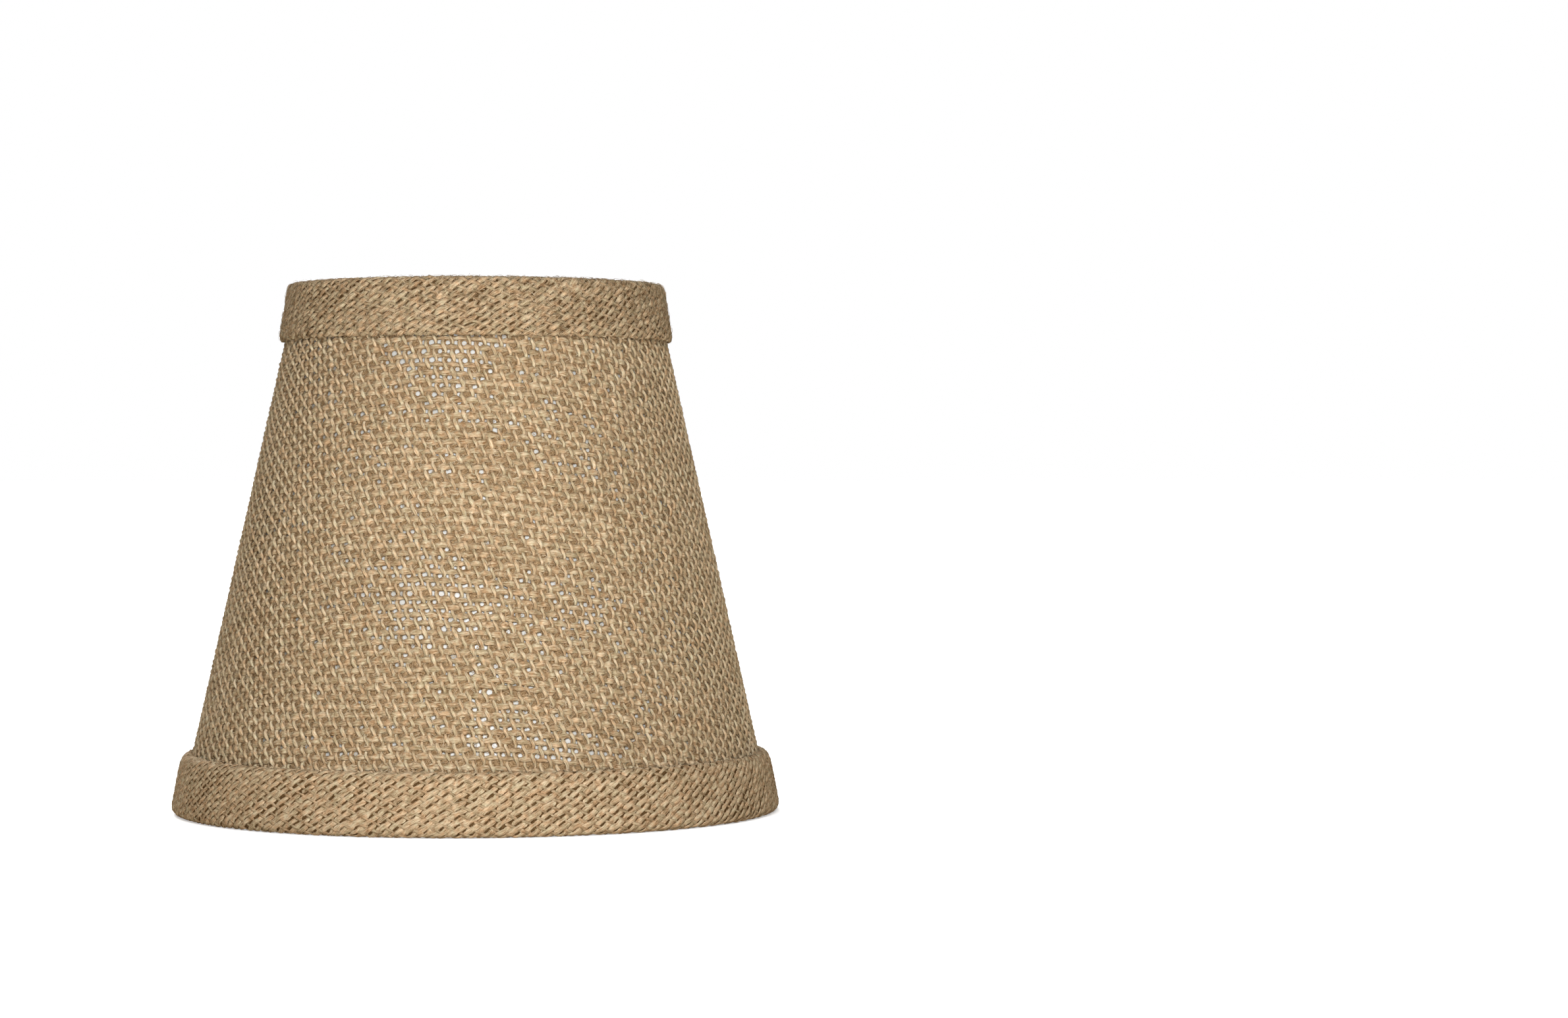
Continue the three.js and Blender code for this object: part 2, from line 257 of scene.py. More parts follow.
class Cone:
    """The cover's flat pattern rolled into the cone. x is across the grain's middle line and y away
    from the cone's apex, both in the flat cloth."""

    grain_turn = math.radians(-12)  # where the cloth's grain stands upright
    lap = 4.5 * MM  # how far the covering end runs past the back line
    lap_rise = 0.8 * MM

    def __init__(self):
        foot = cover_radius(0.0) - COVER_MIDDLE * COS
        self.apex_z = foot / TAPER

    def flat(self, theta, z):
        rho = (self.apex_z - z) / COS
        phi = (theta - self.grain_turn) * SIN
        return rho * np.sin(phi), rho * np.cos(phi)

    def polar(self, x, y):
        rho = np.hypot(x, y)
        theta = np.arctan2(x, y) / SIN + self.grain_turn
        return theta, self.apex_z - rho * COS

    def inside(self, x, y, z_low, z_high):
        theta, z = self.polar(x, y)
        reach = math.pi + self.lap / cover_radius(z)
        return (z > z_low) & (z < z_high) & (theta > -math.pi) & (theta < reach)

    def place(self, x, y, h):
        """Points and normals for heights h over the cloth's middle."""
        theta, z = self.polar(x, y)
        r = (self.apex_z - z) * TAPER
        back = (theta - math.pi) * r
        over = np.clip((back + 3.4 * self.lap) / (1.6 * self.lap), 0, 1)
        h = h + self.lap_rise * smooth(over) * (theta > 0)
        out = around(theta, COS, SIN)
        return around(theta, r, z) + out * h[..., None], out


class Band:
    """A trim: a strip that runs round the shade (u) and is folded over an edge. v grows along its
    profile, from the hem on the cover, over the edge, to the free edge inside."""

    def __init__(self, profile, radius, end_lap, end_rise, strap=None):
        self.radius, self.end_lap, self.end_rise, self.strap = radius, end_lap, end_rise, strap
        dense = catmull(np.array(profile), 24)
        steps = np.linalg.norm(np.diff(dense, axis=0), axis=1)
        self.v = np.concatenate([[0], np.cumsum(steps)])
        self.rz = dense
        slope = unit(np.gradient(dense, axis=0))
        self.normal = np.stack([slope[:, 1], -slope[:, 0]], axis=-1)
        self.width = float(self.v[-1])
        self.length = 2 * math.pi * radius + end_lap

    def inside(self, u, v):
        half = math.pi * self.radius
        in_strip = (v > 0) & (v < self.width) & (u > -half) & (u < half + self.end_lap)
        return in_strip & ~self.notched(u, v)

    def notched(self, u, v):
        """Where the turn-in is cut away round the ends of the strap, if one crosses it."""
        if self.strap is None:
            return np.zeros(np.shape(v), bool)
        low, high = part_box(self.strap)
        r, z = np.interp(v, self.v, self.rz[:, 0]), np.interp(v, self.v, self.rz[:, 1])
        turned_in = v > self.v[np.argmax(self.rz[:, 1])]
        beside = np.abs(r * np.cos(u / self.radius)) < high.y + 0.7 * MM
        return turned_in & beside & (z < high.z + 0.2 * MM)

    def place(self, u, v, h):
        theta = u / self.radius
        columns = [*self.rz.T, *self.normal.T]
        r, z, nr, nz = (np.interp(v, self.v, column) for column in columns)
        scale = np.maximum(np.hypot(nr, nz), 1e-6)
        past = (u - math.pi * self.radius) / self.end_lap
        over = np.clip(past * 1.2 + 1.5, 0, 1)
        h = h + self.end_rise * smooth(over)
        out = around(theta, nr / scale, nz / scale)
        return around(theta, r, z) + out * h[..., None], out


def catmull(points, steps, alpha=0.0):
    """A smooth curve through points: uniform, or centripetal with alpha 0.5."""
    padded = np.concatenate([[2 * points[0] - points[1]], points, [2 * points[-1] - points[-2]]])
    parts = []
    for a, b, c, d in zip(padded[:-3], padded[1:-2], padded[2:-1], padded[3:]):
        ab, bc, cd = (np.linalg.norm(q - p) ** alpha for p, q in ((a, b), (b, c), (c, d)))
        t = (ab + bc * np.arange(steps) / steps)[:, None]
        end_b, end_c, end_d = ab, ab + bc, ab + bc + cd
        p = a + (b - a) * t / end_b
        q = b + (c - b) * (t - end_b) / bc
        r = c + (d - c) * (t - end_c) / cd
        pq = p + (q - p) * t / end_c
        qr = q + (r - q) * (t - end_b) / (end_d - end_b)
        parts.append(pq + (qr - pq) * (t - end_b) / bc)
    return np.concatenate([*parts, points[-1:]])


# ---- weaving

class Weave:
    """A plain weave on a lattice: thin warps run along `warp_step`, and thick wefts along
    `weft_step`, each the way from one crossing to the next. `thin` and `thick` are half widths and half
    heights. The other pairs are for warps and wefts: how far they bend up (crimp), lie over the middle
    (lift), swing aside (lean), widen where they show (gather) and thin at open spots (slack)."""

    def __init__(self, seed, patch_seed, weft_step, warp_step, thin, thick, **pairs):
        self.e1, self.e2 = np.array(weft_step), np.array(warp_step)
        self.seed, self.thin, self.thick, self.pairs = seed, thin, thick, pairs
        self.slow = [field(seed + k, 15 * MM) for k in (1, 2)]
        self.quick = [field(seed + k, 4.5 * MM) for k in (3, 4)]
        self.patches = field(patch_seed, 20 * MM)
        self.gaps = field(seed + 6, 2.6 * MM)

    def point(self, s, t, sway=0.42 * MM, shake=0.19 * MM):
        """The flat place of lattice coordinates: s counts warps and t counts wefts."""
        base = np.asarray(s)[..., None] * self.e1 + np.asarray(t)[..., None] * self.e2
        x, y = base[..., 0], base[..., 1]
        dx, dy = (sway * slow(x, y) + shake * quick(x, y) for slow, quick in zip(self.slow, self.quick))
        return x + dx, y + dy

    def openness(self, x, y):
        """From about -1, where the yarns are full, to 1, where there are holes."""
        return 0.75 * self.patches(x, y) + 0.45 * self.gaps(x, y)

    def index_range(self, corners):
        """Lattice bounds of a flat region."""
        inverse = np.linalg.inv(np.stack([self.e1, self.e2], axis=-1))
        st = np.asarray(corners) @ inverse.T
        low, high = np.floor(st.min(0)).astype(int) - 2, np.ceil(st.max(0)).astype(int) + 2
        return low, high

    def yarns(self, surface, inside, corners, warps, sides, steps=4):
        """Yields the tubes of one set of yarns, cut to the region, with some steps to each crossing."""
        low, high = self.index_range(corners)
        own, run, over = (0, 1, 1) if warps else (1, 0, -1)
        random = draws(self.seed + 11 + own)
        half_width, half_height = self.thin if warps else self.thick
        lift, lean, slack = (self.pairs[kind][own] for kind in ("lift", "lean", "slack"))
        crimp, gather = (over * self.pairs[kind][own] for kind in ("crimp", "gather"))
        across = self.e1 if warps else self.e2
        direction = across / np.linalg.norm(across)
        knots = np.arange(low[run], high[run] + 1)
        walk = np.linspace(low[run], high[run], (high[run] - low[run]) * steps + 1)
        for index in range(low[own], high[own] + 1):
            fixed = np.full_like(walk, index + 0.05 * random.standard_normal())
            tone, fullness = random.random(), 1 + 0.05 * random.standard_normal()
            slubs = np.interp(walk, knots, random.standard_normal(len(knots)))
            rough = 1 + 0.10 * random.standard_normal((len(walk), sides))
            x, y = self.point(*((fixed, walk) if warps else (walk, fixed)))
            beat = np.cos(math.pi * (walk + index))
            swing = lean * np.sin(math.pi * (walk + index))
            x, y = x + swing * direction[0], y + swing * direction[1]
            swell = fullness * (1 + 0.14 * slubs) * (1 + gather * beat)
            side = 0.5 * across
            before, after = (self.openness(x + k * side[0], y + k * side[1]) for k in (-1, 1))
            swell = np.clip(swell * (1 - slack * (before + after) / 2), 0.55, 1.6)
            x, y = x + 0.12 * (before - after) * side[0], y + 0.12 * (before - after) * side[1]
            for a, b in runs(inside(x, y)):
                if b - a < 4:
                    continue
                part = slice(a, b)
                path, normal = surface.place(x[part], y[part], lift + crimp * beat[part])
                wide, tall = half_width * swell[part], half_height * (0.55 + 0.45 * swell[part])
                rings = tube(path[None], normal[None], wide[None], tall[None], sides)
                middle = path[None, :, None]
                yield middle + (rings - middle) * rough[part, :, None], tone


def runs(mask):
    """(start, end) of each stretch where the mask holds."""
    edges = np.flatnonzero(np.diff(np.concatenate([[0], mask.astype(int), [0]])))
    return list(zip(edges[::2], edges[1::2]))


# ---- loose fibres

def fibres(surface, random, starts, headings, lengths, base, lift, thickness, curl, steps=4, sides=3):
    """Short loose fibres as tubes. Each starts at a flat place, wanders on its heading, and rises off
    the cloth by its lift. Half of them end up there, and the others come back down."""
    count = len(lengths)
    part = np.linspace(0, 1, steps + 1)
    turns = headings[:, None] + curl * random.standard_normal((count, 1)) * part
    turns = turns + 0.35 * curl * random.standard_normal((count, steps + 1)).cumsum(axis=1)
    stride = lengths[:, None] / steps
    x, y = (
        starts[:, k, None] + np.pad((stride * wave(turns[:, 1:])).cumsum(axis=1), ((0, 0), (1, 0)))
        for k, wave in enumerate((np.cos, np.sin))
    )
    ends_free = random.random((count, 1)) < 0.5
    rise = np.where(ends_free, part**1.5, np.sin(math.pi * part) ** 0.8)
    path, normal = surface.place(x, y, base[:, None] + lift[:, None] * rise)
    taper = (1 - 0.55 * part) * thickness[:, None]
    return tube(path, normal, taper, taper, sides)


# ---- materials

class Paint:
    """The shader nodes of a material or a world, and the inputs of its shader."""

    def __init__(self, owner, shader="Principled BSDF"):
        owner.use_nodes = True
        self.owner, self.tree = owner, owner.node_tree
        self.shader = self.tree.nodes[shader].inputs

    def feed(self, sockets, values):
        """Links each socket to its value, or sets it to a number, a vector or a colour."""
        for name, value in values.items():
            if isinstance(value, bpy.types.NodeSocket):
                self.tree.links.new(value, sockets[name])
            elif sockets[name].type == "RGBA":
                sockets[name].default_value = (*value, 1)
            else:
                sockets[name].default_value = value

    def node(self, kind, values=None, **settings):
        node = self.tree.nodes.new("ShaderNode" + kind)
        for name, setting in settings.items():
            setattr(node, name, setting)
        self.feed(node.inputs, values or {})
        return node

    def noise(self, vector, scale, detail=2.0, roughness=0.5, distortion=0.0):
        values = {"Scale": scale, "Detail": detail, "Roughness": roughness, "Distortion": distortion}
        return self.node("TexNoise", {"Vector": vector, **values}).outputs["Fac"]

    def plus(self, total, value, scale):
        """total + scale * value."""
        return self.node("Math", {0: value, 1: scale, 2: total}, operation="MULTIPLY_ADD").outputs[0]

    def mixed(self, factor, first, second, blend="MIX"):
        """A colour between two, or their product, by the factor."""
        values = {"Factor": factor, "A": first, "B": second}
        return self.node("Mix", values, data_type="RGBA", blend_type=blend).outputs["Result"]

    def step(self, value, low, high, start=0.0, end=1.0):
        """A smooth step from start to end as the value goes from low to high."""
        values = {"Value": value, "From Min": low, "From Max": high, "To Min": start, "To Max": end}
        return self.node("MapRange", values, interpolation_type="SMOOTHSTEP").outputs["Result"]

    def ramp(self, value, *stops):
        """A colour by the value, from stops of (place, colour)."""
        node = self.node("ValToRGB", {"Fac": value})
        elements = node.color_ramp.elements
        while len(elements) < len(stops):
            elements.new(0.5)
        for element, (place, colour) in zip(elements, stops):
            element.position = place
            element.color = (*colour, 1)
        return node.outputs["Color"]

    def bump(self, height, strength, distance):
        node = self.node("Bump", {"Height": height, "Strength": strength, "Distance": distance})
        self.feed(self.shader, {"Normal": node.outputs["Normal"]})

    def seen_or(self, seen, otherwise):
        """One colour for what the camera sees straight, and another for the light it gives off."""
        return self.mixed(self.node("LightPath").outputs["Is Camera Ray"], otherwise, seen)


def jute(name, dark, middle, pale, own_tone=0.06, bump=0.8):
    """Twisted jute: streaks of fibre that run along the yarn at its twist, blotches of a redder or a
    greyer colour, and slow stains over the cloth."""
    paint = Paint(bpy.data.materials.new(name))
    yarn = paint.node("UVMap", uv_map="yarn").outputs["UV"]
    twist = {"Vector": yarn, "Rotation": (0, 0, 0.22), "Scale": (0.6, 15.0, 1)}
    twisted = paint.node("Mapping", twist).outputs["Vector"]
    streaks = paint.noise(twisted, 1.0, detail=4.0, roughness=0.7, distortion=0.6)
    place = paint.node("NewGeometry").outputs["Position"]
    blotches, stains, hue = (paint.noise(place, scale, detail=3.0) for scale in (620.0, 70.0, 800.0))
    tone = paint.node("Attribute", attribute_name="tone").outputs["Fac"]
    total = paint.plus(-0.51 - 0.5 * own_tone, tone, own_tone)
    for pattern, share in ((streaks, 1.4), (blotches, 0.55), (stains, 0.07)):
        total = paint.plus(total, pattern, share)
    # The colour follows the same streaks as the bump: partly the fibres' own colour, partly painted shade
    # in the grooves and painted highlight on the ridges.
    colour = paint.ramp(total, (0.23, dark), (0.5, middle), (0.73, pale))
    greenish, plain, reddish = (0.94, 1.01, 0.99), (0.99, 1.0, 0.99), (1.07, 0.97, 0.89)
    tint = paint.ramp(hue, (0.36, greenish), (0.50, plain), (0.66, reddish))
    paint.feed(paint.shader, {"Base Color": paint.mixed(1.0, colour, tint, "MULTIPLY")})
    paint.feed(paint.shader, {"Roughness": 0.9, "Specular IOR Level": 0.03})
    if bump:
        paint.bump(streaks, bump, 0.25 * MM)
    return paint.owner


def matted(name, dark, pale):
    """The short fibres that fill the cloth between its yarns."""
    paint = Paint(bpy.data.materials.new(name))
    place = paint.node("NewGeometry").outputs["Position"]
    felt = paint.noise(place, 2600.0, detail=3.0, distortion=1.5)
    paint.feed(paint.shader, {"Base Color": paint.ramp(felt, (0.35, dark), (0.68, pale))})
    paint.feed(paint.shader, {"Roughness": 0.95, "Specular IOR Level": 0.0})
    paint.bump(felt, 0.7, 0.15 * MM)
    return paint.owner


def hard(name, tones, worn, stretch, roughness, metallic, relief, chips):
    """A hard surface: two tones of its colour in blotches, fine marks stretched along its making, and
    chips or tarnish in small spots."""
    paint = Paint(bpy.data.materials.new(name))
    place = paint.node("TexCoord").outputs["Object"]
    stretched = paint.node("Mapping", {"Vector": place, "Scale": stretch}).outputs["Vector"]
    marks = paint.noise(stretched, 1.0, detail=5.0, roughness=0.65)
    blotches = paint.noise(place, 170.0, detail=4.0)
    spots = paint.noise(place, 900.0, detail=4.0, roughness=0.6, distortion=0.4)
    chipped = paint.step(spots, *chips)
    tone = paint.mixed(paint.step(blotches, 0.3, 0.7), *tones)
    tone = paint.mixed(paint.step(marks, 0.55, 0.8, 0.0, 0.35), tone, worn)
    paint.feed(paint.shader, {"Base Color": paint.mixed(chipped, tone, worn), "Metallic": metallic})
    paint.feed(paint.shader, {"Roughness": paint.step(marks, 0.3, 0.7, *roughness)})
    paint.bump(paint.plus(marks, chipped, -1.5), 0.5, relief)
    return paint.owner


# Each yarn's dark grooves, middle and pale ridges, in linear colour: the dark is partly painted shade in
# the grooves and the pale partly painted highlight on the ridges.
warp_jute = jute("warp_jute", (0.165, 0.096, 0.044), (0.36, 0.270, 0.170), (0.53, 0.44, 0.32))
weft_jute = jute("weft_jute", (0.115, 0.063, 0.027), (0.285, 0.205, 0.123), (0.46, 0.370, 0.260))
trim_jutes = {
    "bottom_trim": (
        jute("thick_trim_jute", (0.125, 0.070, 0.031), (0.32, 0.231, 0.143), (0.465, 0.372, 0.260)),
        jute("thin_trim_jute", (0.100, 0.055, 0.023), (0.285, 0.203, 0.122), (0.43, 0.338, 0.230)),
    ),
    # The top trim is the same tape as the bottom one, painted darker: painted shade for the less light the
    # top band gets.
    "top_trim": (
        jute("thick_top_jute_shaded", (0.080, 0.042, 0.017), (0.285, 0.205, 0.125), (0.455, 0.363, 0.250)),
        jute("thin_top_jute_shaded", (0.065, 0.034, 0.014), (0.255, 0.181, 0.107), (0.41, 0.322, 0.217)),
    ),
}
loose_jute = jute(
    "loose_jute", (0.11, 0.064, 0.028), (0.305, 0.222, 0.138), (0.51, 0.42, 0.305), 0.4, bump=0.0,
)
matted_jute = matted("matted_jute", (0.075, 0.039, 0.014), (0.30, 0.208, 0.118))
# The trims' matted sheet is painted near black: painted shade in the gaps between the yarns.
matted_trim_shade = matted("matted_trim_shade", (0.030, 0.015, 0.005), (0.11, 0.064, 0.028))

liner_face = hard(
    "liner_face", ((0.74, 0.72, 0.665), (0.80, 0.785, 0.735)), (0.66, 0.62, 0.53),
    (420, 420, 1500), (0.38, 0.55), 0.0, 0.03 * MM, (0.70, 0.80),
)
# The liner's outer face is the same white styrene, painted darker: painted shade where it shows through the
# cloth's holes.
liner_painted_shade = hard(
    "liner_painted_shade", ((0.35, 0.35, 0.335), (0.41, 0.405, 0.39)), (0.34, 0.29, 0.22),
    (1300, 1300, 1300), (0.40, 0.60), 0.0, 0.05 * MM, (0.60, 0.75),
)
enamel = hard(
    "enamel", ((0.73, 0.71, 0.655), (0.80, 0.785, 0.735)), (0.30, 0.27, 0.235),
    (700, 1400, 1400), (0.26, 0.46), 0.0, 0.02 * MM, (0.735, 0.75),
)
nickel = hard(
    "nickel", ((0.56, 0.535, 0.495), (0.68, 0.665, 0.63)), (0.30, 0.245, 0.18),
    (260, 5200, 5200), (0.20, 0.40), 1.0, 0.006 * MM, (0.70, 0.80),
)
spring_brass = hard(
    "spring_brass", ((0.52, 0.385, 0.19), (0.67, 0.52, 0.285)), (0.22, 0.135, 0.062),
    (2600, 2600, 420), (0.22, 0.46), 1.0, 0.008 * MM, (0.66, 0.78),
)


# ---- cover

cone = Cone()
COVER_SHOWS = (BOTTOM_TRIM_TOP - 3.5 * MM, TOP_TRIM_EDGE + 3 * MM)
WARP_PITCH, WEFT_PITCH, SKEW = 1.95 * MM, 2.10 * MM, 0.117
cover_weave = Weave(
    seed=100,
    patch_seed=2772,
    weft_step=(WARP_PITCH, 0.0),
    warp_step=(SKEW * WEFT_PITCH, WEFT_PITCH),
    thin=(0.41 * MM, 0.32 * MM),
    thick=(0.70 * MM, 0.33 * MM),
    crimp=(0.42 * MM, 0.26 * MM),
    lift=(0.10 * MM, -0.06 * MM),
    lean=(0.34 * MM, 0.05 * MM),
    gather=(0.14, 0.26),
    slack=(0.10, 0.24),
)


def cover_corners():
    angles = np.linspace(-math.pi, math.pi + 0.15, 24)
    return [cone.flat(theta, z) for theta in angles for z in (cover_z0, cover_z1)]


def cover_inside(x, y):
    return cone.inside(x, y, *COVER_SHOWS)


def in_parts(name, yarns, parts, material):
    """Makes yarns into `parts` pieces of about equal size. Makes yarns into pieces that
    are small enough to export whole.
    """
    sizes = np.cumsum([rings.shape[1] for rings, _ in yarns])
    which = np.minimum((sizes / sizes[-1] * parts).astype(int), parts - 1)
    pieces = []
    for part in range(parts):
        strands = Strands()
        for (rings, tone), home in zip(yarns, which):
            if home == part:
                strands.add(rings, np.array([tone]))
        pieces.append(strands.make(f"{name}_{part + 1}", material))
    return pieces


def woven_cover():
    """The cover's matted cloth, and then its yarns."""
    corners = cover_corners()
    warps = list(cover_weave.yarns(cone, cover_inside, corners, warps=True, sides=6))
    wefts = list(cover_weave.yarns(cone, cover_inside, corners, warps=False, sides=8))
    return [
        cover_cloth(),
        *in_parts("cover_warp", warps, 3, warp_jute),
        *in_parts("cover_weft", wefts, 4, weft_jute),
    ]


def cover_cloth():
    """The matted fibre between the yarns: one sheet in the cloth's middle, with the cloth's open
    holes in it. Each cell of the weave has an eight-sided ring about its centre, which is a hole or is
    filled by a raised face."""
    weave, random = cover_weave, draws(7)
    depth, heap = -0.16 * MM, 0.24 * MM
    hole_radius, full_size = 0.66 * MM, 0.5
    low, high = weave.index_range(cover_corners())
    s_all, t_all = (np.arange(low[k], high[k] + 1) for k in (0, 1))
    x, y = weave.point(*np.meshgrid(s_all, t_all, indexing="ij"))
    keep = cone.inside(x, y, cover_z0, cover_z1)
    place, _ = cone.place(x, y, np.full_like(x, depth))
    # A cell lies between two warps and two wefts, and all four of its corners are in the cover.
    cs, ct = np.nonzero(keep[:-1, :-1] & keep[1:, :-1] & keep[:-1, 1:] & keep[1:, 1:])
    cx, cy = weave.point(s_all[cs] + 0.5, t_all[ct] + 0.5)
    opened = weave.openness(cx, cy) + 0.30 * random.standard_normal(len(cx))
    above_hem = cone.polar(cx, cy)[1] > BOTTOM_TRIM_TOP + 2 * MM
    size = np.where((opened > 0.18) & above_hem, np.clip(0.62 + 0.5 * opened, 0.5, 1.1), 0.0)
    filled = size == 0

    def lattice_point(a, b):
        return np.ravel_multi_index((cs + a, ct + b), keep.shape)

    used = np.unique(np.concatenate([lattice_point(a, b) for a in (0, 1) for b in (0, 1)]))
    number = np.full(keep.size, -1)
    number[used] = np.arange(len(used))
    corner = [number[lattice_point(a, b)] for a, b in ((1, 1), (0, 1), (0, 0), (1, 0))]

    angle = np.arange(8) * math.pi / 4 + math.pi / 8
    reach = np.where(filled, full_size, size)[:, None] * hole_radius
    height = np.broadcast_to(np.where(filled, depth + heap, depth)[:, None], (len(cs), 8))
    rings, _ = cone.place(cx[:, None] + reach * np.cos(angle), cy[:, None] + reach * np.sin(angle), height)
    points = np.concatenate([place.reshape(-1, 3)[used], rings.reshape(-1, 3)])
    ring = len(used) + np.arange(len(cs) * 8).reshape(-1, 8)
    triangles = []
    # Ring points 0 and 1 face the first corner's side, going round with the corners.
    for k in range(4):
        a, b = corner[k], corner[(k + 1) % 4]
        r0, r1, r2 = (ring[:, (2 * k + step) % 8] for step in range(3))
        triangles += [np.stack(face, -1) for face in ((a, r1, r0), (a, b, r1), (b, r2, r1))]
    fan = ring[filled]
    triangles += [np.stack([fan[:, 0], fan[:, k], fan[:, k + 1]], -1) for k in range(1, 7)]
    triangles = np.concatenate(triangles)
    # Faces look outwards.
    a, b, c = (points[triangles[:, i]] for i in range(3))
    inwards = (np.cross(b - a, c - a) * a * (1, 1, 0)).sum(1) < 0
    triangles[inwards] = triangles[inwards][:, ::-1]
    return piece_of("cover_cloth", points, triangles, matted_jute)


# ---- trims

def bottom_profile():
    """(radius, height) of the strip's middle, from its hem on the cover to its edge inside."""
    edge, skin = BOTTOM_TRIM_TOP, 0.55 * MM
    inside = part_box("bottom_ring")[1].x - 3.2 * MM
    outside = edge - 1.6 * MM, edge - 4.0 * MM, 8.0 * MM, 4.4 * MM
    return [
        *((cover_radius(z) + 0.5 * MM, z) for z in (edge - 3.0 * MM, edge - 1.2 * MM)),
        (cover_radius(edge) + 1.0 * MM, edge - 0.75 * MM),
        *((outer_radius("bottom_trim", z) - skin, z) for z in outside),
        (RIM_RADIUS - skin - 0.15 * MM, 1.8 * MM),
        (RIM_RADIUS - 1.7 * MM, skin + 0.1 * MM),
        (RIM_RADIUS - 4.0 * MM, skin),
        (inside + 1.2 * MM, skin),
        *((inside + out * MM, z * MM) for out, z in ((0.25, 1.5), (0, 4.0), (0.15, 7.5), (0.35, 10.5))),
    ]


def top_profile():
    """The same for the top trim, which turns over the top ring."""
    edge, skin = TOP_TRIM_EDGE, 0.5 * MM
    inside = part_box("top_ring")[1].x - 2.75 * MM
    shoulder, top = HEIGHT - 1.6 * MM, HEIGHT - skin - 0.1 * MM
    outside = edge + 1.6 * MM, edge + 4.0 * MM, edge + 8.5 * MM, shoulder
    turn_in = (0.5, 1.2), (0.05, 3.0), (0.9, 5.6), (2.9, 8.6), (4.2, 10.6)
    return [
        *((cover_radius(z) + 0.40 * MM, z) for z in (edge + 3.0 * MM, edge + 1.2 * MM)),
        (cover_radius(edge) + 0.65 * MM, edge + skin),
        *((outer_radius("top_trim", z) - skin, z) for z in outside),
        (outer_radius("top_trim", shoulder) - 1.5 * MM, top),
        (inside + 2.2 * MM, top),
        *((inside + out * MM, HEIGHT - down * MM) for out, down in turn_in),
    ]


def woven_band(name, band, weave):
    """A trim's matted cloth, painted dark as the shade between the yarns, and then its yarns, thick and
    thin.
    """
    half = math.pi * band.radius
    corners = [(u, v) for u in (-half, half + band.end_lap) for v in (0, band.width)]
    pieces = [band_cloth(name + "_cloth", band)]
    for warps, kind, material in zip((False, True), ("thick", "thin"), trim_jutes[name]):
        yarns = list(weave.yarns(band, band.inside, corners, warps, sides=8))
        pieces += in_parts(f"{name}_{kind}", yarns, 2, material)
    return pieces


def band_cloth(name, band):
    half, hem = math.pi * band.radius, 0.1 * MM
    u = np.linspace(-half, half + band.end_lap, 480)
    v = np.linspace(hem, band.width - hem, 44)
    vv, uu = np.meshgrid(v, u, indexing="ij")
    points, _ = band.place(uu, vv, np.full_like(uu, -0.12 * MM))
    faces = grid_faces(len(v), len(u), closed=False)
    faces = faces[~band.notched(uu.ravel()[faces].mean(1), vv.ravel()[faces].mean(1))]
    return piece_of(name, points.reshape(-1, 3), faces, matted_trim_shade)


def trim_weave(seed, weft_step, warp_step, thin, thick, crimp, lean):
    return Weave(
        seed, seed + 5, weft_step, warp_step, thin, thick,
        crimp=crimp, lift=(0.0, 0.0), lean=(0.0, lean), gather=(0.10, 0.16), slack=(0.05, 0.08),
    )


bottom_band = Band(bottom_profile(), RIM_RADIUS - 1.2 * MM, 7 * MM, 0.55 * MM)
top_band = Band(top_profile(), cover_radius(TOP_TRIM_EDGE) + 0.2 * MM, 6 * MM, 0.5 * MM, "fitter_crossbar")
# v runs down the outside of the bottom trim, and up the outside of the top one.
bottom_weave = trim_weave(
    seed=200,
    weft_step=(1.84 * MM, -1.30 * MM),
    warp_step=(1.69 * MM, 0.69 * MM),
    thin=(0.38 * MM, 0.25 * MM),
    thick=(0.74 * MM, 0.34 * MM),
    crimp=(0.22 * MM, 0.17 * MM),
    lean=0.10 * MM,
)
top_weave = trim_weave(
    seed=300,
    weft_step=(1.735 * MM, 1.34 * MM),
    warp_step=(1.735 * MM, -0.55 * MM),
    thin=(0.37 * MM, 0.24 * MM),
    thick=(0.63 * MM, 0.32 * MM),
    crimp=(0.20 * MM, 0.16 * MM),
    lean=-0.10 * MM,
)


# ---- fuzz

